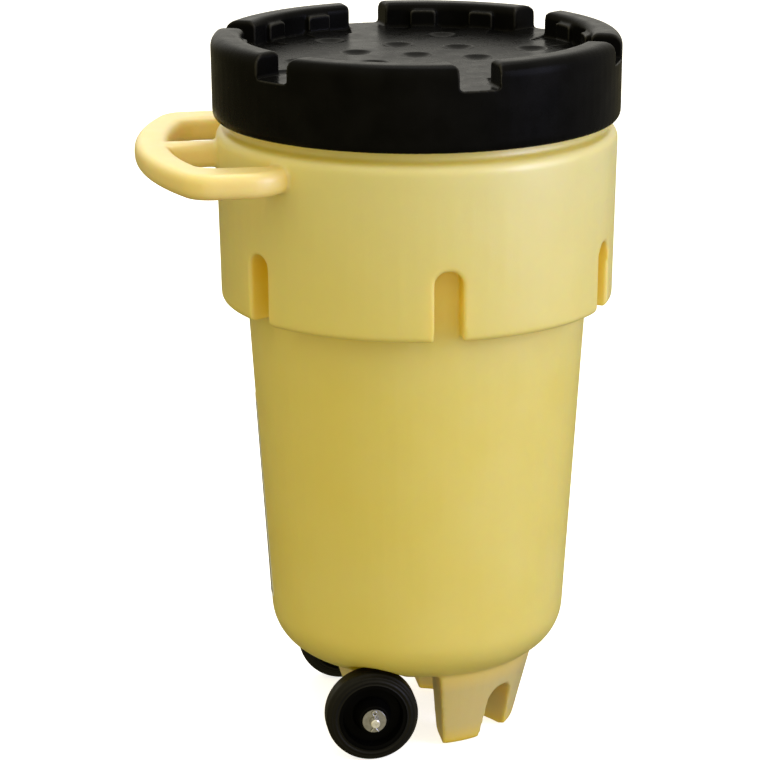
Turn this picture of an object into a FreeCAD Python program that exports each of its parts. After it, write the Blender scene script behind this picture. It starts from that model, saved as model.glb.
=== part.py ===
# Wheeled overpack salvage drum with a screw-on lid, carry handle, moulded feet and a pair of wheels.
# Millimetres, +Z up, standing on z = 0. The handle points to -X and the wheel axle lies along Y.
import FreeCAD, Part
import math
import os
import re
import Sketcher
from FreeCAD import Placement, Rotation, Vector

SIZES = {
    # Drum shell
    "wall": 7.0,
    "axis_offset": 57.5,
    "base_height": 120.0,
    "base_round": 75.0,
    "body_radius_low": 220.5,
    "body_radius_high": 256.0,
    "skirt_height": 677.0,
    "skirt_radius_low": 294.5,
    "skirt_radius_high": 300.3,
    "skirt_edge_round": 9.0,
    "shoulder_height": 938.0,
    "shoulder_round": 16.0,
    "neck_radius": 282.0,
    "neck_height": 1026.0,
    "slot_width": 42.0,
    "slot_top": 782.0,
    "slot_start_angle": 30.0,
    # Carry handle
    "handle_top": 922.0,
    "handle_depth": 38.0,
    "handle_reach": 420.0,
    "handle_half_width": 246.0,
    "handle_bow_radius": 515.0,
    "handle_corner": 48.0,
    "handle_bar": 50.0,
    "handle_arm": 66.0,
    "handle_rib": 40.0,
    "handle_root": 208.0,
    "root_corner": 76.0,
    "handle_round": 14.0,
    "grip_root": 227.0,
    "grip_corner": 34.0,
    "hollow_edge": 250.0,
    "hollow_front": 200.0,
    "hollow_side": 110.0,
    "hollow_drop": 99.0,
    "hollow_taper": 8.0,
    "hollow_core_radius": 250.0,
    "hollow_core_back": 22.0,
    "hollow_core_side": 50.0,
    # Feet and axle housing
    "foot_radius_low": 148.0,
    "foot_radius_high": 185.0,
    "foot_inner_radius": 82.0,
    "foot_round": 11.0,
    "foot_rear": 25.5,
    "foot_draft": 4.7,
    "arch_width": 62.0,
    "arch_top_radius": 23.0,
    "arch_height": 85.0,
    "arch_angle": 60.0,
    "arch_offset": 33.0,
    "housing_bottom": 49.5,
    "housing_back": 117.0,
    "housing_front": 72.0,
    "housing_half_width": 135.9,
    "housing_round": 11.0,
    # Lid
    "lid_bottom": 950.5,
    "lid_radius_low": 303.8,
    "lid_radius_high": 305.2,
    "lid_edge_round": 14.0,
    "lid_inner_radius": 297.0,
    "lid_ceiling": 1034.0,
    "plate_height": 1042.0,
    "rim_top": 1078.0,
    "rim_inner_radius": 258.0,
    "rim_outer_round": 18.0,
    "rim_inner_round": 11.0,
    "notch_width": 59.0,
    "notch_round": 4.0,
    "notch_flare": 7.0,
    "pilaster_width": 40.0,
    "pilaster_depth": 8.0,
    "pilaster_top": 1068.0,
    "pilaster_round": 5.0,
    "lid_turn": 8.2,
    "ledge_depth": 3.5,
    "ledge_radius": 218.0,
    "tab_root": 100.0,
    "channel_tab_inner": 38.0,
    "channel_tab_outer": 28.0,
    "rim_tab_inner": 27.0,
    "rim_tab_outer": 19.0,
    "rim_tab_angle": 9.5,
    "pilaster_angle": 10.5,
    "dimple_diameter": 46.0,
    "dimple_depth": 6.0,
    "dimple_ring_inner": 92.0,
    "dimple_ring_outer": 180.0,
    # Screw thread
    "thread_pitch": 24.0,
    "thread_turns": 2.0,
    "thread_root": 12.0,
    "thread_crest": 6.0,
    "thread_depth": 10.0,
    "thread_start": 952.0,
    # Lid gasket
    "gasket_inner_radius": 268.0,
    "gasket_outer_radius": 286.0,
    # Axle and wheels
    "axle_back": 97.0,
    "axle_height": 70.0,
    "axle_radius": 7.0,
    "axle_half_length": 217.0,
    "axle_chamfer": 1.2,
    "housing_bore_clearance": 0.05,
    "wheel_radius": 70.0,
    "wheel_track": 170.0,
    "tyre_width": 44.0,
    "tyre_inner_radius": 52.0,
    "tyre_round": 13.0,
    "rim_flange_radius": 50.0,
    "hub_radius": 22.0,
    "hub_length": 62.0,
    "web_thickness": 10.0,
    "bush_wall": 2.5,
    "wheel_clearance": 0.06,
    "well_clearance": 5.0,
    "washer_radius": 18.0,
    "washer_thickness": 2.0,
    "washer_gap": 0.3,
    "pin_wire": 3.0,
    # Label
    "label_width": 250.0,
    "label_height": 316.0,
    "label_middle": 364.0,
    "label_thickness": 0.6,
    "label_angle": 151.0,
}

NOTCHES = 6
SLOTS = 6
RIGHT = "right"
LEFT = "left"

doc = FreeCAD.newDocument("overpack_drum")
sheet = doc.addObject("Spreadsheet::Sheet", "Sizes")
for row, (alias, value) in enumerate(SIZES.items(), start=1):
    sheet.set(f"A{row}", alias)
    sheet.set(f"B{row}", str(value))
    sheet.setAlias(f"B{row}", alias)
doc.recompute()


def formula(text):
    """Turn a sum of size names into an expression on the sheet."""
    return re.sub(r"[a-z_]+", lambda word: "Sizes." + word.group(0), text)


def number(text):
    """The present value of a sum of size names."""
    return float(sheet.evalExpression(formula(text)))


def bind(item, prop, text):
    item.setExpression(prop, formula(text))
    return item


def put(item, x="0", y="0", z="0", turn=None):
    """Place an item; each coordinate is a sum of size names, turn is (axis, degrees)."""
    axis, angle = turn if turn else (Vector(0, 0, 1), 0)
    item.Placement = Placement(Vector(number(x), number(y), number(z)), Rotation(axis, angle))
    for name, text in (("x", x), ("y", y), ("z", z)):
        bind(item, f"Placement.Base.{name}", text)
    return item


def box(name, x, y, z, length, width, height, turn=None):
    item = doc.addObject("Part::Box", name)
    for prop, text in (("Length", length), ("Width", width), ("Height", height)):
        bind(item, prop, text)
    return put(item, x, y, z, turn)


def cylinder(name, radius, height, x="0", y="0", z="0", turn=None):
    item = doc.addObject("Part::Cylinder", name)
    bind(item, "Radius", radius)
    bind(item, "Height", height)
    return put(item, x, y, z, turn)


def cone(name, low, high, height, x="0", y="0", z="0"):
    item = doc.addObject("Part::Cone", name)
    bind(item, "Radius1", low)
    bind(item, "Radius2", high)
    bind(item, "Height", height)
    return put(item, x, y, z)


def fuse(name, *items):
    item = doc.addObject("Part::MultiFuse", name)
    item.Shapes = list(items)
    return item


def common(name, *items):
    item = doc.addObject("Part::MultiCommon", name)
    item.Shapes = list(items)
    return item


def cut(name, base, *tools):
    item = doc.addObject("Part::Cut", name)
    item.Base = base
    item.Tool = tools[0] if len(tools) == 1 else fuse(name + "_tools", *tools)
    return item


def draw_outline(sketch, corners):
    """A closed outline. Each corner is (x, y) or (x, y, radius), all sums of size names."""
    points = [Vector(number(corner[0]), number(corner[1]), 0) for corner in corners]
    radii = [number(corner[2]) if len(corner) > 2 else 0.0 for corner in corners]
    count = len(corners)
    before, after = [], []
    for i, point in enumerate(points):
        back = (points[i - 1] - point).normalize()
        ahead = (points[(i + 1) % count] - point).normalize()
        trim = radii[i] / math.tan(back.getAngle(ahead) / 2) if radii[i] else 0.0
        before.append(point + back * trim)
        after.append(point + ahead * trim)
    lines = [
        sketch.addGeometry(Part.LineSegment(after[i], before[(i + 1) % count]), False)
        for i in range(count)
    ]
    for i, corner in enumerate(corners):
        line_in, line_out = lines[i - 1], lines[i]
        if radii[i]:
            middle = (before[i] + after[i]) * 0.5
            inward = (middle - points[i]).normalize()
            reach = (before[i] - points[i]).Length
            centre_distance = math.hypot(reach, radii[i])
            crown = points[i] + inward * (centre_distance - radii[i])
            arc = sketch.addGeometry(Part.Arc(before[i], crown, after[i]), False)
            turns_left = (before[i] - points[i]).cross(after[i] - points[i]).z < 0
            first, last = (1, 2) if turns_left else (2, 1)
            apex = sketch.addGeometry(Part.Point(points[i]), True)
            sketch.addConstraint(Sketcher.Constraint("Tangent", line_in, 2, arc, first))
            sketch.addConstraint(Sketcher.Constraint("Tangent", line_out, 1, arc, last))
            sketch.addConstraint(Sketcher.Constraint("PointOnObject", apex, 1, line_in))
            sketch.addConstraint(Sketcher.Constraint("PointOnObject", apex, 1, line_out))
            size = sketch.addConstraint(Sketcher.Constraint("Radius", arc, radii[i]))
            sketch.setExpression(f"Constraints[{size}]", formula(corner[2]))
            anchor, end = apex, 1
        else:
            sketch.addConstraint(Sketcher.Constraint("Coincident", line_in, 2, line_out, 1))
            anchor, end = line_out, 1
        for kind, axis in (("DistanceX", 0), ("DistanceY", 1)):
            value = points[i][axis]
            place = sketch.addConstraint(Sketcher.Constraint(kind, -1, 1, anchor, end, value))
            sketch.setExpression(f"Constraints[{place}]", formula(corner[axis]))


def new_body(name):
    return doc.addObject("PartDesign::Body", name)


def new_sketch(body, name, plane):
    sketch = body.newObject("Sketcher::SketchObject", name)
    support = [item for item in body.Origin.OriginFeatures if item.Role == plane][0]
    sketch.AttachmentSupport = (support, [""])
    sketch.MapMode = "FlatFace"
    return sketch


def revolved(name, corners):
    """A body turned about its Z axis from an outline of (radius, height) corners."""
    body = new_body(name)
    sketch = new_sketch(body, name + "_outline", "XZ_Plane")
    draw_outline(sketch, corners)
    turned = body.newObject("PartDesign::Revolution", name + "_turned")
    turned.Profile = sketch
    turned.ReferenceAxis = (sketch, ["V_Axis"])
    turned.Angle = 360
    body.Tip = turned
    return body


def padded(name, plane, corners, length):
    """A body raised from an outline; length is a sum of size names."""
    body = new_body(name)
    sketch = new_sketch(body, name + "_outline", plane)
    draw_outline(sketch, corners)
    pad = body.newObject("PartDesign::Pad", name + "_pad")
    pad.Profile = sketch
    bind(pad, "Length", length)
    body.Tip = pad
    return body


def star(name, plane, corners, length, count, start):
    """Arms raised from one outline and repeated around Z, the first at the start angle."""
    body = padded(name, plane, corners, length)
    pad = body.Tip
    around = body.newObject("PartDesign::PolarPattern", name + "_around")
    around.Originals = [pad]
    around.Axis = (pad.Profile[0], ["V_Axis" if plane == "YZ_Plane" else "N_Axis"])
    around.Angle = 360
    around.Occurrences = count
    body.Tip = around
    return put(body, turn=(Vector(0, 0, 1), start))


def rounded(name, base, size, choose):
    """Round the edges of a base that choose(edge) picks."""
    doc.recompute()
    item = doc.addObject("Part::Fillet", name)
    item.Base = base
    radius = number(size)
    item.Edges = [
        (index, radius, radius)
        for index, edge in enumerate(base.Shape.Edges, start=1)
        if choose(edge)
    ]
    return item


def thread(name, root, crest, middle):
    """A right-handed trapezoid thread; root and crest are radii, middle is the height it starts at."""
    section = doc.addObject("Sketcher::SketchObject", name + "_section")
    put(section, turn=(Vector(1, 0, 0), 90))
    draw_outline(section, [
        (root, f"{middle} - thread_root / 2"),
        (crest, f"{middle} - thread_crest / 2"),
        (crest, f"{middle} + thread_crest / 2"),
        (root, f"{middle} + thread_root / 2"),
    ])
    path = doc.addObject("Part::Helix", name + "_path")
    bind(path, "Pitch", "thread_pitch")
    bind(path, "Height", "thread_pitch * thread_turns")
    bind(path, "Radius", root)
    put(path, z=middle)
    doc.recompute()
    item = doc.addObject("Part::Sweep", name)
    item.Sections = [section]
    item.Spine = (path, ["Edge1"])
    item.Solid = True
    item.Frenet = True
    return item


def is_upright(edge):
    """True for a straight edge along Z."""
    direction = edge.tangentAt(edge.FirstParameter)
    return edge.Curve.TypeId == "Part::GeomLine" and abs(direction.z) > 0.99


# ---- Drum: shell, skirt slots, handle, feet and axle housing, moulded in one ----

def make_handle():
    bottom = "handle_top - handle_depth"
    reach = "handle_reach + 10"
    plan = common(
        "handle_plan",
        box("handle_block", f"0 - ({reach})", "0 - handle_half_width", bottom,
            f"{reach} - handle_root", "handle_half_width * 2", "handle_depth"),
        cylinder("handle_bow", "handle_bow_radius", "handle_depth",
                 x="handle_bow_radius - handle_reach", z=bottom),
    )
    plan = rounded("handle_corners", plan, "handle_corner",
                   lambda edge: is_upright(edge) and edge.Vertexes[0].X < -300)
    plan = rounded("handle_root_corners", plan, "root_corner",
                   lambda edge: is_upright(edge) and edge.Vertexes[0].X > -230)
    half = "handle_half_width - handle_arm"
    grip = common(
        "grip_plan",
        box("grip_block", f"0 - ({reach})", f"0 - ({half})", f"{bottom} - 1",
            f"{reach} - grip_root", f"({half}) * 2", "handle_depth + 2"),
        cylinder("grip_bow", "handle_bow_radius - handle_bar", "handle_depth + 2",
                 x="handle_bow_radius - handle_reach", z=f"{bottom} - 1"),
    )
    grip = cut("grip_holes", grip,
               box("grip_rib", f"0 - ({reach})", "0 - handle_rib / 2", f"{bottom} - 2",
                   reach, "handle_rib", "handle_depth + 4"))
    grip = rounded("grip_corners", grip, "grip_corner",
                   lambda edge: is_upright(edge) and edge.Vertexes[0].X < -300
                   and abs(edge.Vertexes[0].Y) > number("handle_rib"))
    loop = cut("handle_loop", plan, grip)
    return rounded("handle", loop, "handle_round",
                   lambda edge: not is_upright(edge) and edge.BoundBox.XMin < -240)


def root_hollows(name, extra):
    """Hollows in the skirt under the handle's two roots, sharp behind, fading forwards and down."""
    bottom = "handle_top - handle_depth"
    height = f"hollow_drop + {extra}"
    hollows = []
    for side, sign, y in ((LEFT, 1, "hollow_side"), (RIGHT, -1, "0 - handle_half_width")):
        block = box(f"{name}_block_{side}", f"0 - hollow_edge - {extra}", y, f"{bottom} - hollow_drop",
                    f"hollow_edge - hollow_front + {extra}", "handle_half_width - hollow_side", height)
        core = cone(f"{name}_core_{side}", f"hollow_core_radius + hollow_taper - {extra}",
                    f"hollow_core_radius - {extra}", height, x="0 - hollow_core_back",
                    y=f"hollow_core_side * {sign}", z=f"{bottom} - hollow_drop")
        hollows.append(cut(f"{name}_{side}", block, core))
    return fuse(name, *hollows)


def make_arch(side, sign):
    """A round-topped tunnel through the foot ring, beside the middle foot."""
    middle = f"{sign} * arch_offset"
    body = padded(f"arch_{side}", "YZ_Plane", [
        (f"{middle} - arch_width / 2", "0 - 5"),
        (f"{middle} + arch_width / 2", "0 - 5"),
        (f"{middle} + arch_top_radius + 1", "arch_height", "arch_top_radius"),
        (f"{middle} - arch_top_radius - 1", "arch_height", "arch_top_radius"),
    ], "foot_radius_high * 2")
    return put(body, turn=(Vector(0, 0, 1), -sign * SIZES["arch_angle"]))


def make_feet():
    ring = revolved("foot_ring", [
        ("foot_inner_radius", "0", "foot_round"),
        ("foot_radius_low", "0", "foot_round"),
        ("foot_radius_high", "base_height + 22"),
        ("foot_inner_radius", "base_height + 22"),
    ])
    rear = box("foot_rear_cut", "foot_rear - 400", "0 - 300", "0 - 120", "400", "600", "600",
               turn=(Vector(0, 1, 0), -SIZES["foot_draft"]))
    return cut("feet", ring, rear, make_arch(LEFT, 1), make_arch(RIGHT, -1))


def make_housing():
    block = box("housing_block", "0 - housing_back", "0 - housing_half_width", "housing_bottom",
                "housing_back - housing_front", "housing_half_width * 2",
                "base_height + 30 - housing_bottom")
    return rounded("axle_housing", block, "housing_round",
                   lambda edge: edge.BoundBox.YLength > 100 and edge.BoundBox.ZMax < 100)


def along_y(name, radius, low, length):
    """A cylinder on the axle line from y = low."""
    return cylinder(name, radius, length, x="0 - axle_back", y=low, z="axle_height",
                    turn=(Vector(1, 0, 0), -90))


def wheel_wells(name, radius, start):
    reach = "wheel_track + tyre_width * 2"
    return [
        along_y(f"{name}_{LEFT}", radius, start, f"{reach} - ({start})"),
        along_y(f"{name}_{RIGHT}", radius, f"0 - ({reach})", f"{reach} - ({start})"),
    ]


def slot_arms(name, extra, floor_drop):
    """Round-topped arms at the skirt slots, wider by extra, cut back to the drum's lower cone."""
    half = f"(slot_width / 2 + {extra})"
    top = f"slot_top + {extra}"
    arms = star(f"{name}_arms", "YZ_Plane", [
        (f"0 - {half}", "skirt_height - 30"),
        (half, "skirt_height - 30"),
        (half, top, f"{half} - 1"),
        (f"0 - {half}", top, f"{half} - 1"),
    ], "skirt_radius_high + 60", SLOTS, SIZES["slot_start_angle"])
    slope = (SIZES["body_radius_high"] - SIZES["body_radius_low"]) / (
        SIZES["skirt_height"] - SIZES["base_height"])
    drop, rise = 40, 160
    core = cone(f"{name}_core", f"body_radius_high - {floor_drop} - {slope * drop:.4f}",
                f"body_radius_high - {floor_drop} + {slope * rise:.4f}",
                str(drop + rise), z=f"skirt_height - {drop}")
    return cut(name, arms, core)


def make_drum():
    outside = revolved("shell_outside", [
        ("0", "base_height"),
        ("body_radius_low", "base_height", "base_round"),
        ("body_radius_high", "skirt_height"),
        ("skirt_radius_low", "skirt_height", "skirt_edge_round"),
        ("skirt_radius_high", "shoulder_height", "shoulder_round"),
        ("neck_radius", "shoulder_height"),
        ("neck_radius", "neck_height"),
        ("0", "neck_height"),
    ])
    inside = revolved("shell_inside", [
        ("0", "base_height + wall"),
        ("body_radius_low - wall", "base_height + wall", "base_round - wall"),
        ("body_radius_high - wall", "skirt_height + wall"),
        ("skirt_radius_low - wall", "skirt_height + wall"),
        ("skirt_radius_high - wall", "shoulder_height - wall", "shoulder_round - wall"),
        ("neck_radius - wall", "shoulder_height - wall"),
        ("neck_radius - wall", "neck_height + 5"),
        ("0", "neck_height + 5"),
    ])
    well_start = "wheel_track - tyre_width / 2 - well_clearance"
    hollow = cut("hollow", inside, slot_arms("slot_walls", "wall", "wall"),
                 root_hollows("root_hollow_walls", "wall"),
                 *wheel_wells("well_walls", "wheel_radius + well_clearance + wall",
                              f"{well_start} - wall"))
    neck_thread = thread("neck_thread", "neck_radius - 1.5", "neck_radius + thread_depth",
                         "thread_start + thread_root / 2")
    skin = cut("drum_skin", outside, root_hollows("root_hollows", "0"))
    solid = fuse("drum_solid", skin, make_handle(), make_feet(), make_housing(), neck_thread)
    bore = along_y("axle_bore", "axle_radius + housing_bore_clearance", "0 - wheel_track",
                   "wheel_track * 2")
    return cut("drum_body", solid, hollow, slot_arms("slots", "0", "0"), bore,
               *wheel_wells("wells", "wheel_radius + well_clearance", well_start))


# ---- Lid and its gasket ----

def make_dimple(name, ring, degrees):
    ball_radius = "(dimple_diameter * dimple_diameter / 8 / dimple_depth + dimple_depth / 2)"
    ball = doc.addObject("Part::Sphere", name)
    bind(ball, "Radius", ball_radius)
    angle = math.radians(degrees)
    return put(ball, x=f"{ring} * {math.cos(angle):.6f}", y=f"{ring} * {math.sin(angle):.6f}",
               z=f"plate_height - dimple_depth + {ball_radius}")


def make_dimples():
    step = 360 / NOTCHES
    balls = [make_dimple("dimple_middle", "0", 0)]
    for index in range(NOTCHES):
        angle = SIZES["lid_turn"] + step * (index + 0.5)
        balls.append(make_dimple(f"dimple_inner_{index}", "dimple_ring_inner", angle))
        balls.append(make_dimple(f"dimple_outer_{index}", "dimple_ring_outer", angle - step / 2))
    return balls


def plate_tab(name, size, turn):
    """A flat tab of the plate that runs out to the rim, repeated round the lid."""
    return star(name, "XY_Plane", [
        ("tab_root", f"0 - {size}_inner"),
        ("ledge_radius", f"0 - {size}_inner"),
        ("rim_inner_radius + 4", f"0 - {size}_outer"),
        ("rim_inner_radius + 4", f"{size}_outer"),
        ("ledge_radius", f"{size}_inner"),
        ("tab_root", f"{size}_inner"),
    ], "plate_height + 20", NOTCHES, turn)


def make_ledge(notch_angle):
    """The shallow ledge round the plate, between its tabs."""
    ring = revolved("ledge_ring", [
        ("ledge_radius", "plate_height - ledge_depth"),
        ("rim_inner_radius", "plate_height - ledge_depth"),
        ("rim_inner_radius", "plate_height + 2"),
        ("ledge_radius", "plate_height + 2"),
    ])
    middle = notch_angle + 180 / NOTCHES
    return cut("ledge", ring,
               plate_tab("channel_tab", "channel_tab", notch_angle),
               plate_tab("near_tab", "rim_tab", middle - SIZES["rim_tab_angle"]),
               plate_tab("far_tab", "rim_tab", middle + SIZES["rim_tab_angle"]))


def notch_arms(name, extra, notch_angle):
    """The notches' clear space, with soft corners below and a flare where they leave the rim."""
    half = f"(notch_width / 2 + {extra})"
    flare = f"({half} + notch_flare * 2)"
    return star(name, "YZ_Plane", [
        (f"0 - {half}", f"plate_height - {extra}", "notch_round"),
        (half, f"plate_height - {extra}", "notch_round"),
        (half, "rim_top", "notch_flare"),
        (flare, "rim_top"),
        (flare, "rim_top + 10"),
        (f"0 - {flare}", "rim_top + 10"),
        (f"0 - {flare}", "rim_top"),
        (f"0 - {half}", "rim_top", "notch_flare"),
    ], "lid_radius_high + 20", NOTCHES, notch_angle)


def make_pilasters(notch_angle):
    """Pairs of flat pilasters that stiffen the inside of each piece of the rim."""
    middle = notch_angle + 180 / NOTCHES
    arms = [
        star(f"pilasters_{place}", "YZ_Plane", [
            ("0 - pilaster_width / 2", "lid_ceiling + 2"),
            ("pilaster_width / 2", "lid_ceiling + 2"),
            ("pilaster_width / 2", "pilaster_top", "pilaster_round"),
            ("0 - pilaster_width / 2", "pilaster_top", "pilaster_round"),
        ], "rim_inner_radius + wall / 2", NOTCHES, middle + sign * SIZES["pilaster_angle"])
        for place, sign in (("near", -1), ("far", 1))
    ]
    core = cylinder("pilaster_core", "rim_inner_radius - pilaster_depth", "rim_top")
    return cut("pilasters", fuse("pilaster_arms", *arms), core)


def make_lid():
    notch_angle = SIZES["lid_turn"] + 180 / NOTCHES
    outside = revolved("lid_outside", [
        ("0", "lid_bottom"),
        ("lid_radius_low", "lid_bottom", "lid_edge_round"),
        ("lid_radius_high", "rim_top", "rim_outer_round"),
        ("rim_inner_radius", "rim_top", "rim_inner_round"),
        ("rim_inner_radius", "plate_height"),
        ("0", "plate_height"),
    ])
    socket = revolved("lid_socket", [
        ("0", "lid_bottom - 5"),
        ("lid_inner_radius", "lid_bottom - 5"),
        ("lid_inner_radius", "lid_ceiling"),
        ("0", "lid_ceiling"),
    ])
    rim_hollow = revolved("rim_hollow", [
        ("gasket_outer_radius + 2", "lid_ceiling - 1"),
        ("lid_inner_radius", "lid_ceiling - 1"),
        ("lid_inner_radius", "rim_top - wall", "rim_outer_round - wall"),
        ("rim_inner_radius + wall", "rim_top - wall", "rim_inner_round - wall"),
        ("rim_inner_radius + wall", "plate_height"),
        ("gasket_outer_radius + 2", "plate_height"),
    ])
    shell = cut("lid_shell", outside, socket,
                cut("rim_pockets", rim_hollow, notch_arms("notch_walls", "wall", notch_angle)),
                make_ledge(notch_angle), *make_dimples())
    notched = cut("lid_notched", fuse("lid_ribbed", shell, make_pilasters(notch_angle)),
                  notch_arms("notches", "0", notch_angle))
    lid_thread = thread("lid_thread", "lid_inner_radius + 1.5", "lid_inner_radius - thread_depth",
                        "thread_start + thread_root / 2 + thread_pitch / 2")
    return fuse("lid", notched, lid_thread)


def make_gasket():
    return revolved("lid_gasket", [
        ("gasket_inner_radius", "neck_height"),
        ("gasket_outer_radius", "neck_height", "2"),
        ("gasket_outer_radius", "lid_ceiling", "2"),
        ("gasket_inner_radius", "lid_ceiling"),
    ])


# ---- Axle, wheels, washers and split pins ----

def on_axle(body, middle="0"):
    """Lay a body turned about Z along Y, at the axle."""
    return put(body, x="0 - axle_back", y=middle, z="axle_height", turn=(Vector(1, 0, 0), 90))


PIN_LINE = ("wheel_track + hub_length / 2 + 0.5 + washer_gap + washer_thickness"
            " + pin_wire / 2 + 0.3")


def make_axle():
    rod = on_axle(revolved("axle_rod", [
        ("0", "0 - axle_half_length"),
        ("axle_radius - axle_chamfer", "0 - axle_half_length"),
        ("axle_radius", "axle_chamfer - axle_half_length"),
        ("axle_radius", "axle_half_length - axle_chamfer"),
        ("axle_radius - axle_chamfer", "axle_half_length"),
        ("0", "axle_half_length"),
    ]))
    holes = [
        cylinder(f"pin_hole_{side}", "pin_wire / 2 + 0.3", "axle_radius * 4",
                 x="0 - axle_back", y=f"{sign} * ({PIN_LINE})", z="axle_height - axle_radius * 2")
        for side, sign in ((LEFT, 1), (RIGHT, -1))
    ]
    return cut("axle", rod, *holes)


def make_tyre(side, middle):
    return on_axle(revolved(f"tyre_{side}", [
        ("tyre_inner_radius", "0 - tyre_width / 2"),
        ("wheel_radius", "0 - tyre_width / 2", "tyre_round"),
        ("wheel_radius", "tyre_width / 2", "tyre_round"),
        ("tyre_inner_radius", "tyre_width / 2"),
    ]), middle)


def make_wheel(side, middle):
    bush = "axle_radius + wheel_clearance + bush_wall"
    flange = "rim_flange_radius - 4"
    edge = "tyre_width / 2 - 2"
    half = [
        ("tyre_inner_radius", edge),
        (flange, edge),
        (f"{flange} - 3", "web_thickness / 2"),
        ("hub_radius + 7", "web_thickness / 2"),
        ("hub_radius", "hub_length / 2", "2"),
        (bush, "hub_length / 2"),
    ]
    mirrored = [(corner[0], f"0 - ({corner[1]})", *corner[2:]) for corner in reversed(half)]
    return on_axle(revolved(f"wheel_{side}", mirrored + half), middle)


def make_bush(side, middle):
    inner = "axle_radius + wheel_clearance"
    return on_axle(revolved(f"hub_bush_{side}", [
        (inner, "0 - hub_length / 2 - 0.5"),
        (f"{inner} + bush_wall", "0 - hub_length / 2 - 0.5"),
        (f"{inner} + bush_wall", "hub_length / 2 + 0.5"),
        (inner, "hub_length / 2 + 0.5"),
    ]), middle)


def make_washer(name, middle):
    return on_axle(revolved(name, [
        ("axle_radius + 0.4", "0 - washer_thickness / 2"),
        ("washer_radius", "0 - washer_thickness / 2", "0.5"),
        ("washer_radius", "washer_thickness / 2", "0.5"),
        ("axle_radius + 0.4", "washer_thickness / 2"),
    ]), middle)


def make_split_pin(side, sign):
    """A split pin pushed down through the axle, its legs spread below."""
    middle = f"{sign} * ({PIN_LINE})"
    top = "axle_height + axle_radius + pin_wire"
    wire = "pin_wire / 2"
    shank = cylinder(f"pin_shank_{side}", wire, "axle_radius * 2 + pin_wire * 2",
                     x="0 - axle_back", y=middle, z="axle_height - axle_radius - pin_wire")
    eye = doc.addObject("Part::Torus", f"pin_eye_{side}")
    bind(eye, "Radius1", "pin_wire * 1.1")
    bind(eye, "Radius2", f"{wire} * 0.85")
    put(eye, x="0 - axle_back", y=middle, z=f"{top} + pin_wire * 0.9",
        turn=(Vector(1, 0, 0), 90))
    legs = []
    for name, lean in (("front", 40), ("back", -40)):
        leg = doc.addObject("Part::Cylinder", f"pin_leg_{name}_{side}")
        bind(leg, "Radius", f"{wire} * 0.8")
        bind(leg, "Height", "axle_radius * 1.2")
        put(leg, x="0 - axle_back", y=middle, z="axle_height - axle_radius - pin_wire * 0.8",
            turn=(Vector(0, 1, 0), 180 + lean))
        legs.append(leg)
    return fuse(f"split_pin_{side}", shank, eye, *legs)


# ---- Label ----

def make_label():
    slope = (SIZES["body_radius_high"] - SIZES["body_radius_low"]) / (
        SIZES["skirt_height"] - SIZES["base_height"])
    gap = 0.1
    sheets = []
    for name, lift in (("label_outer", f"{gap} + label_thickness"), ("label_inner", str(gap))):
        sheets.append(cone(name, f"body_radius_low + {lift} + {slope:.6f} * 30",
                           f"body_radius_high + {lift} - {slope:.6f} * 30",
                           "skirt_height - base_height - 60", z="base_height + 30"))
    outline = padded("label_outline", "YZ_Plane", [
        ("0 - label_width / 2", "label_middle - label_height / 2", "8"),
        ("label_width / 2", "label_middle - label_height / 2", "8"),
        ("label_width / 2", "label_middle + label_height / 2", "8"),
        ("0 - label_width / 2", "label_middle + label_height / 2", "8"),
    ], "body_radius_high + 20")
    put(outline, turn=(Vector(0, 0, 1), SIZES["label_angle"]))
    return common("label", cut("label_skin", *sheets), outline)


# ---- Assembly ----

def make_nodes():
    nodes = {
        "drum_body": make_drum(),
        "lid": make_lid(),
        "lid_gasket": make_gasket(),
        "axle": make_axle(),
        "label": make_label(),
    }
    for side, sign in ((LEFT, 1), (RIGHT, -1)):
        middle = f"{sign} * wheel_track"
        reach = "(hub_length / 2 + 0.5 + washer_gap + washer_thickness / 2)"
        nodes[f"tyre_{side}"] = make_tyre(side, middle)
        nodes[f"wheel_{side}"] = make_wheel(side, middle)
        nodes[f"hub_bush_{side}"] = make_bush(side, middle)
        nodes[f"inner_washer_{side}"] = make_washer(
            f"inner_washer_{side}", f"{middle} - {sign} * {reach}")
        nodes[f"outer_washer_{side}"] = make_washer(
            f"outer_washer_{side}", f"{middle} + {sign} * {reach}")
        nodes[f"split_pin_{side}"] = make_split_pin(side, sign)
    return nodes


def check_document():
    for item in doc.Objects:
        if "Invalid" in item.State or "Error" in item.State:
            raise RuntimeError(f"{item.Name} failed: {item.State}")


def export_nodes(nodes):
    os.makedirs("parts", exist_ok=True)
    shift = Vector(SIZES["axis_offset"], 0, 0)
    for name, item in nodes.items():
        item.Label = name
        shape = item.Shape.copy()
        if shape.isNull() or not shape.isValid() or not shape.Solids:
            raise RuntimeError(f"{name} has no valid solid")
        shape.translate(shift)
        shape.exportStep(f"parts/{name}.step")
        bounds = shape.BoundBox
        print(f"{name:20s} solids {len(shape.Solids)} volume {shape.Volume / 1000:9.1f} cm3  "
              f"x {bounds.XMin:7.1f} {bounds.XMax:7.1f}  y {bounds.YMin:7.1f} {bounds.YMax:7.1f}  "
              f"z {bounds.ZMin:7.1f} {bounds.ZMax:7.1f}")


nodes = make_nodes()
doc.recompute()
check_document()
export_nodes(nodes)
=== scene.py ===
# Looks for the wheeled overpack salvage drum: materials, soft moulded edges, studio and camera.
import math

import bpy
from mathutils import Matrix, Vector


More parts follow.
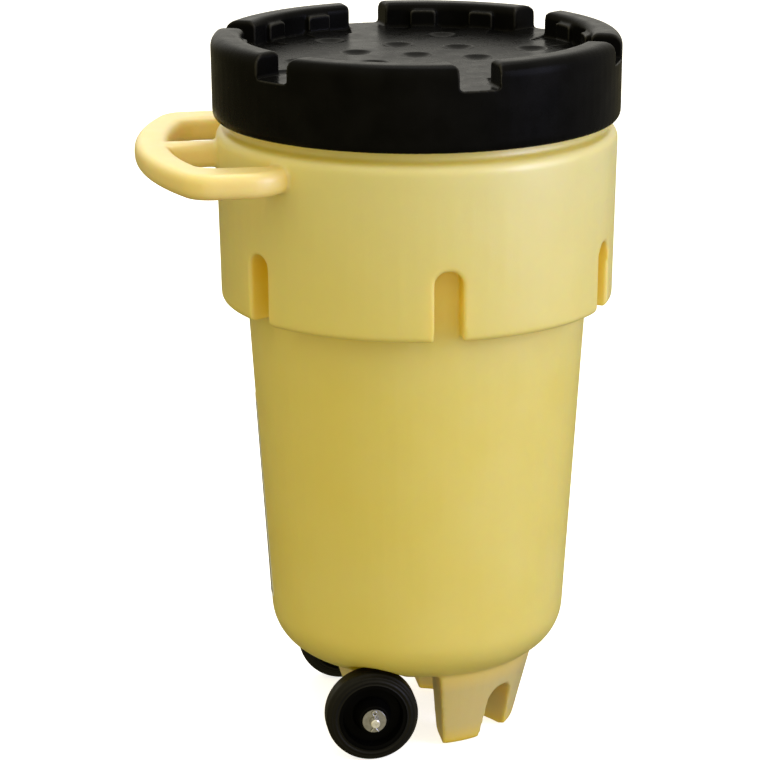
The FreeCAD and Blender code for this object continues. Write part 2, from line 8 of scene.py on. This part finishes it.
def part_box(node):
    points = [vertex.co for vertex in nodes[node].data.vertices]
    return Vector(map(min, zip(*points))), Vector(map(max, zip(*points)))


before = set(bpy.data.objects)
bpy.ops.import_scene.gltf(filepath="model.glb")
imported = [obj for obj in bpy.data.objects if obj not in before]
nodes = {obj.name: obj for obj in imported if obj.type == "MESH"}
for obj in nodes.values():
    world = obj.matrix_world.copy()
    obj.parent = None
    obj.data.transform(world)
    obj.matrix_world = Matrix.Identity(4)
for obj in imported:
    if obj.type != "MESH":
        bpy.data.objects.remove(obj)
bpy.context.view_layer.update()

gasket_low, gasket_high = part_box("lid_gasket")
DRUM_AXIS = (gasket_low.x + gasket_high.x) / 2
axle_low, axle_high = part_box("axle")
AXLE_CENTRE = (axle_low + axle_high) / 2


# ---- Small helpers for node materials ----

class Paint:
    """One node material, built up from a Principled shader."""

    def __init__(self, name, **sockets):
        self.material = bpy.data.materials.new(name)
        self.material.use_nodes = True
        self.tree = self.material.node_tree
        self.shader = self.tree.nodes["Principled BSDF"]
        self.position = self.add("ShaderNodeTexCoord").outputs["Object"]
        for socket, value in sockets.items():
            self.shader.inputs[socket.replace("_", " ")].default_value = value

    def add(self, kind, **settings):
        node = self.tree.nodes.new(kind)
        for key, value in settings.items():
            setattr(node, key, value)
        return node

    def link(self, source, target):
        self.tree.links.new(source, target)

    def colour(self, socket):
        self.link(socket, self.shader.inputs["Base Color"])

    def roughness(self, socket):
        self.link(socket, self.shader.inputs["Roughness"])

    def bumps(self, *layers):
        """Chain bump layers, each a height value, its strength and its distance in metres."""
        normal = None
        for height, strength, distance in layers:
            node = self.add("ShaderNodeBump")
            node.inputs["Strength"].default_value = strength
            node.inputs["Distance"].default_value = distance
            self.link(height, node.inputs["Height"])
            if normal is not None:
                self.link(normal, node.inputs["Normal"])
            normal = node.outputs["Normal"]
        self.link(normal, self.shader.inputs["Normal"])

    def arithmetic(self, operation, *values):
        """A Math node; each value is a number or a socket."""
        node = self.add("ShaderNodeMath", operation=operation)
        for socket, value in zip(node.inputs, values):
            if isinstance(value, (int, float)):
                socket.default_value = value
            else:
                self.link(value, socket)
        return node.outputs["Value"]

    def noise(self, scale, detail=3.0, rough=0.5, stretch=(1, 1, 1)):
        """Smooth noise at a scale in cells per metre, as a value from 0 to 1."""
        mapping = self.add("ShaderNodeMapping")
        mapping.inputs["Scale"].default_value = stretch
        self.link(self.position, mapping.inputs["Vector"])
        node = self.add("ShaderNodeTexNoise")
        node.inputs["Scale"].default_value = scale
        node.inputs["Detail"].default_value = detail
        node.inputs["Roughness"].default_value = rough
        self.link(mapping.outputs["Vector"], node.inputs["Vector"])
        return node.outputs["Fac"]

    def spread(self, value, low, high, start=0.3, end=0.7):
        """Map a value from the range start to end onto the range low to high."""
        node = self.add("ShaderNodeMapRange")
        node.inputs["From Min"].default_value = start
        node.inputs["From Max"].default_value = end
        node.inputs["To Min"].default_value = low
        node.inputs["To Max"].default_value = high
        self.link(value, node.inputs["Value"])
        return node.outputs["Result"]

    def mix(self, factor, first, second):
        """Blend two colours, or a colour and a socket, by a factor."""
        node = self.add("ShaderNodeMix", data_type="RGBA")
        self.link(factor, node.inputs["Factor"])
        for slot, colour in (("A", first), ("B", second)):
            socket = next(s for s in node.inputs if s.name == slot and s.type == "RGBA")
            if isinstance(colour, tuple):
                socket.default_value = (*colour, 1)
            else:
                self.link(colour, socket)
        return next(s for s in node.outputs if s.type == "RGBA")

    def mottle(self, scale, first, second, detail=3.0):
        """Two colours in soft patches."""
        return self.mix(self.spread(self.noise(scale, detail=detail), 0.0, 1.0), first, second)

    def height(self):
        """Height above the floor in metres."""
        parts = self.add("ShaderNodeSeparateXYZ")
        self.link(self.position, parts.inputs["Vector"])
        return parts.outputs["Z"]

    def rings(self, centre, spacing):
        """Moulded rings round an axle along Y, as a height from -1 to 1."""
        offset = self.add("ShaderNodeVectorMath", operation="SUBTRACT")
        offset.inputs[1].default_value = centre
        self.link(self.position, offset.inputs[0])
        flat = self.add("ShaderNodeVectorMath", operation="MULTIPLY")
        flat.inputs[1].default_value = (1, 0, 1)
        self.link(offset.outputs["Vector"], flat.inputs[0])
        radius = self.add("ShaderNodeVectorMath", operation="LENGTH")
        self.link(flat.outputs["Vector"], radius.inputs[0])
        phase = self.arithmetic("MULTIPLY", radius.outputs["Value"], 2 * math.pi / spacing)
        return self.arithmetic("SINE", phase)

    def highlit_edges(self, start, end):
        """0 on flat skin, rising to 1 on convex edges, a mask for painted highlights there."""
        point = self.add("ShaderNodeNewGeometry").outputs["Pointiness"]
        return self.spread(point, 0.0, 1.0, start=start, end=end)

    def recess_shade(self, reach):
        """0 on open skin, rising to 1 deep in slots and under overhangs; a mask for painted shade
        there.
        """
        node = self.add("ShaderNodeAmbientOcclusion", samples=4)
        node.inputs["Distance"].default_value = reach
        return self.spread(node.outputs["AO"], 1.0, 0.0, start=0.2, end=0.75)


def dress(material, *names):
    for name in names:
        slots = nodes[name].data.materials
        slots.clear()
        slots.append(material)


# ---- Materials ----

# Heights above the floor, in metres: the drum is painted paler upwards as a painted highlight from the
# top light, and painted darker at its feet as painted shade.
TOP_LIGHT_START, TOP_LIGHT_END = 0.58, 0.93
FOOT_SHADE_END, FOOT_SHADE_START = 0.095, 0.135
RECESS_REACH = 0.055
MOULD_RING_SPACING = 0.0062
LABEL_ANGLE = 151.0
LABEL_WIDTH = 0.25
BORDER_INSET = 0.009
BORDER_HALF_WIDTH = 0.003


def make_polyethylene():
    """Translucent yellow plastic: cloudy, painted paler at the top as a painted highlight, painted
    darker at the feet as painted shade, and painted golden in recesses as painted shade.
    """
    paint = Paint("yellow_polyethylene", Subsurface_Weight=0.5, Subsurface_Scale=0.03,
                  Subsurface_Radius=(1.0, 0.62, 0.12), IOR=1.51, Specular_IOR_Level=1.0,
                  Coat_Weight=0.5, Coat_Roughness=0.34)
    tone = paint.mottle(7.0, (0.965, 0.712, 0.165), (0.985, 0.742, 0.215), detail=4.0)
    clouds = paint.spread(paint.noise(2.2, detail=2.0), 0.0, 0.45)
    skin = paint.mix(clouds, tone, (0.935, 0.658, 0.105))
    height = paint.height()
    # Painted highlight: the skin turns paler towards the top, where the top light falls.
    top_light = paint.spread(height, 0.0, 0.75, start=TOP_LIGHT_START, end=TOP_LIGHT_END)
    # Painted shade: the skin turns darker near the floor, where the drum shades its own feet.
    foot_shade = paint.spread(height, 0.85, 0.0, start=FOOT_SHADE_END, end=FOOT_SHADE_START)
    upper = paint.mix(top_light, skin, (0.93, 0.77, 0.36))
    painted_light = paint.mix(foot_shade, upper, (0.64, 0.54, 0.24))
    # Painted shade: the skin turns deep golden in slots and under overhangs.
    paint.colour(paint.mix(paint.recess_shade(RECESS_REACH), painted_light, (1.0, 0.68, 0.01)))
    paint.roughness(paint.spread(paint.noise(28.0), 0.40, 0.54))
    paint.bumps((paint.noise(16.0, detail=2.0), 0.35, 0.004),
                (paint.noise(320.0, detail=2.0), 0.16, 0.0006))
    return paint.material


def make_black_plastic(name, grey, low, high, waves, painted_light):
    """Black moulded plastic with a roughness from low to high; the last flag paints its convex edges
    paler, a painted highlight.
    """
    paint = Paint(name, IOR=1.45, Specular_IOR_Level=0.03)
    skin = paint.mottle(20.0, (grey, grey, grey * 1.02), (grey * 2.0, grey * 2.0, grey * 2.1),
                        detail=5.0)
    if painted_light:
        # Painted highlight: convex edges turn paler grey, standing in for light caught on their
        # rounding.
        skin = paint.mix(paint.highlit_edges(0.515, 0.60), skin, (0.075, 0.073, 0.068))
    paint.colour(skin)
    scuffs = paint.noise(38.0, detail=6.0, rough=0.65)
    paint.roughness(paint.spread(scuffs, low, high))
    paint.bumps((paint.noise(9.0, detail=1.0), waves, 0.003),
                (paint.noise(520.0, detail=2.0), 0.12, 0.0004))
    return paint.material


def make_steel(name, grey, grain):
    """Zinc-plated steel, its grain drawn out along the axes where grain is small."""
    paint = Paint(name, Metallic=1.0)
    paint.colour(paint.mottle(220.0, (grey, grey, grey * 1.06),
                              (grey * 0.72, grey * 0.72, grey * 0.74), detail=5.0))
    paint.roughness(paint.spread(paint.noise(900.0, stretch=grain), 0.26, 0.5))
    paint.bumps((paint.noise(1400.0, stretch=grain), 0.15, 0.0002))
    return paint.material


def make_nylon():
    paint = Paint("white_nylon", Subsurface_Weight=0.2, Subsurface_Scale=0.003, IOR=1.53)
    paint.colour(paint.mottle(120.0, (0.74, 0.72, 0.64), (0.66, 0.63, 0.54)))
    paint.roughness(paint.spread(paint.noise(300.0), 0.35, 0.5))
    paint.bumps((paint.noise(900.0), 0.15, 0.0003))
    return paint.material


def make_rubber(name, grey, pores, ringed=False):
    """Black rubber with fine pores, dusty in patches; a ringed one has mould rings round the axle."""
    paint = Paint(name, IOR=1.5, Specular_IOR_Level=0.16)
    paint.colour(paint.mottle(60.0, (grey, grey, grey), (grey * 2.4, grey * 2.3, grey * 2.1),
                              detail=5.0))
    paint.roughness(paint.spread(paint.noise(90.0), 0.34, 0.5))
    layers = [(paint.noise(pores, detail=3.0), 0.3, 0.0005)]
    if ringed:
        layers.append((paint.rings(AXLE_CENTRE, MOULD_RING_SPACING), 0.7, 0.0007))
    paint.bumps(*layers)
    return paint.material


def make_label():
    """Blank white vinyl with a plain dark border, wrapped round the body at the label's angle."""
    low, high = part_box("label")
    paint = Paint("label_vinyl", IOR=1.5)
    turn = paint.add("ShaderNodeMapping", vector_type="TEXTURE")
    turn.inputs["Location"].default_value = (DRUM_AXIS, 0, 0)
    turn.inputs["Rotation"].default_value = (0, 0, math.radians(LABEL_ANGLE))
    paint.link(paint.position, turn.inputs["Vector"])
    parts = paint.add("ShaderNodeSeparateXYZ")
    paint.link(turn.outputs["Vector"], parts.inputs["Vector"])

    across = paint.arithmetic("ABSOLUTE", parts.outputs["Y"])
    middle = (low.z + high.z) / 2
    up = paint.arithmetic("ABSOLUTE", paint.arithmetic("SUBTRACT", parts.outputs["Z"], middle))
    inside = paint.arithmetic("MINIMUM", paint.arithmetic("SUBTRACT", LABEL_WIDTH / 2, across),
                              paint.arithmetic("SUBTRACT", (high.z - low.z) / 2, up))
    from_line = paint.arithmetic("ABSOLUTE", paint.arithmetic("SUBTRACT", inside, BORDER_INSET))
    border = paint.arithmetic("LESS_THAN", from_line, BORDER_HALF_WIDTH)
    white = paint.mottle(14.0, (0.86, 0.86, 0.84), (0.80, 0.80, 0.78))
    paint.colour(paint.mix(border, white, (0.03, 0.03, 0.035)))
    paint.roughness(paint.spread(paint.noise(40.0), 0.28, 0.42))
    paint.bumps((paint.noise(60.0), 0.2, 0.0004))
    return paint.material


dress(make_polyethylene(), "drum_body")
# The lid gets painted highlights on its convex edges.
dress(make_black_plastic("black_polyethylene", 0.0022, 0.22, 0.34, 0.10, True), "lid")
dress(make_black_plastic("black_wheel_plastic", 0.0012, 0.34, 0.5, 0.05, False),
      "wheel_left", "wheel_right")
dress(make_rubber("tyre_rubber", 0.0018, 500.0, ringed=True), "tyre_left", "tyre_right")
dress(make_rubber("gasket_foam", 0.02, 1500.0), "lid_gasket")
dress(make_steel("zinc_axle", 0.92, (1, 0.06, 1)), "axle")
dress(make_steel("zinc_washer", 0.36, (1, 1, 1)),
      "inner_washer_left", "inner_washer_right", "outer_washer_left", "outer_washer_right")
dress(make_steel("zinc_wire", 0.5, (1, 1, 0.1)), "split_pin_left", "split_pin_right")
dress(make_nylon(), "hub_bush_left", "hub_bush_right")
dress(make_label(), "label")


# ---- Soft moulded edges on the two big mouldings ----

def soften(name, voxel, passes):
    """Round a moulding's sharp edges the way rotational moulding leaves them."""
    target = nodes[name]
    remesh = target.modifiers.new("mould_skin", "REMESH")
    remesh.mode = "VOXEL"
    remesh.voxel_size = voxel
    remesh.use_smooth_shade = True
    relax = target.modifiers.new("mould_round", "SMOOTH")
    relax.factor = 0.5
    relax.iterations = passes


soften("drum_body", 0.003, 7)
soften("lid", 0.002, 8)


# ---- Studio ----

WHITE = (1.0, 1.0, 1.0)
WARM = (1.0, 0.87, 0.43)
COOL = (0.95, 0.98, 1.45)
FLOOR_GLOW = 0.75
AMBIENT = 0.15
# Broad glows: the direction they come from, the cosine where they start, strength and colour.
GLOWS = (
    ((1.0, -0.5, 0.3), -0.2, 0.33, WHITE),
    ((-0.1, 0.3, 1.0), 0.0, 0.33, WHITE),
    ((0.1, 0.9, 0.5), 0.72, 0.9, WHITE),
    ((-0.7, -0.8, 0.3), -0.4, 0.48, WARM),
    ((0.0, 0.0, 1.0), -0.6, 0.24, WARM),
)
DRUM_MIDDLE = (DRUM_AXIS, 0, 0.55)


def make_floor():
    """A pale floor that glows a little, and that the drum neither mirrors nor is lit by."""
    bpy.ops.mesh.primitive_plane_add(size=60.0, location=(0, 0, 0))
    floor = bpy.context.object
    floor.name = "floor"
    paint = Paint("pale_floor", Roughness=0.9, Specular_IOR_Level=0.1)
    paint.colour(paint.mix(paint.noise(3.0), (0.93, 0.93, 0.93), (0.95, 0.95, 0.95)))
    paint.shader.inputs["Emission Color"].default_value = (*WHITE, 1)
    paint.shader.inputs["Emission Strength"].default_value = FLOOR_GLOW
    floor.data.materials.append(paint.material)
    floor.visible_diffuse = False
    floor.visible_glossy = False


def make_lamp(name, place, size, power, colour=WHITE):
    """A soft box aimed at the drum's middle, its power in watts."""
    lamp = bpy.data.lights.new(name, "AREA")
    lamp.shape = "RECTANGLE"
    lamp.size, lamp.size_y = size
    lamp.energy = power
    lamp.color = colour
    holder = bpy.data.objects.new(name, lamp)
    bpy.context.collection.objects.link(holder)
    holder.location = place
    aim = Vector(DRUM_MIDDLE) - Vector(place)
    holder.rotation_euler = aim.to_track_quat("-Z", "Y").to_euler()


def make_world():
    """A pale studio: an even warm fill, plus broad soft glows from a few directions."""
    world = bpy.data.worlds.new("studio")
    world.use_nodes = True
    tree = world.node_tree
    direction = tree.nodes.new("ShaderNodeTexCoord").outputs["Generated"]
    fill = tree.nodes["Background"]
    fill.inputs["Color"].default_value = (*WARM, 1)
    fill.inputs["Strength"].default_value = AMBIENT
    total = fill.outputs["Background"]
    for toward, start, strength, colour in GLOWS:
        facing = tree.nodes.new("ShaderNodeVectorMath")
        facing.operation = "DOT_PRODUCT"
        facing.inputs[1].default_value = Vector(toward).normalized()
        tree.links.new(direction, facing.inputs[0])
        level = tree.nodes.new("ShaderNodeMapRange")
        level.interpolation_type = "SMOOTHSTEP"
        level.inputs["From Min"].default_value = start
        level.inputs["To Max"].default_value = strength
        tree.links.new(facing.outputs["Value"], level.inputs["Value"])
        glow = tree.nodes.new("ShaderNodeBackground")
        glow.inputs["Color"].default_value = (*colour, 1)
        tree.links.new(level.outputs["Result"], glow.inputs["Strength"])
        both = tree.nodes.new("ShaderNodeAddShader")
        tree.links.new(total, both.inputs[0])
        tree.links.new(glow.outputs["Background"], both.inputs[1])
        total = both.outputs["Shader"]
    tree.links.new(total, tree.nodes["World Output"].inputs["Surface"])
    bpy.context.scene.world = world


make_floor()
make_world()
make_lamp("softbox_right", (3.4, -2.2, 1.7), (2.2, 2.6), 68, COOL)
make_lamp("softbox_top", (0.4, 0.6, 3.7), (1.6, 1.6), 24)
bpy.context.scene.view_settings.view_transform = "Standard"


# ---- Camera ----

CAMERA_PLACE = Vector((DRUM_AXIS - 0.7052, -4.4525, 1.8366))
CAMERA_AIM = Vector((0.1441, 0.9532, -0.2658))
CAMERA_LEAN = 0.003


def make_camera():
    """A long lens held at CAMERA_PLACE, looking along CAMERA_AIM and leaning by CAMERA_LEAN radians."""
    camera = bpy.data.cameras.new("camera")
    camera.lens = 145.58
    camera.sensor_width = 36.0
    camera.shift_x = -0.0209
    camera.shift_y = -0.0446
    camera.clip_end = 200.0
    holder = bpy.data.objects.new("camera", camera)
    bpy.context.collection.objects.link(holder)
    forward = CAMERA_AIM.normalized()
    right = forward.cross(Vector((0, 0, 1))).normalized()
    lean = Matrix.Rotation(CAMERA_LEAN, 3, forward)
    up = lean @ right.cross(forward)
    axes = Matrix((lean @ right, up, -forward)).transposed().to_4x4()
    holder.matrix_world = Matrix.Translation(CAMERA_PLACE) @ axes
    bpy.context.scene.camera = holder


make_camera()
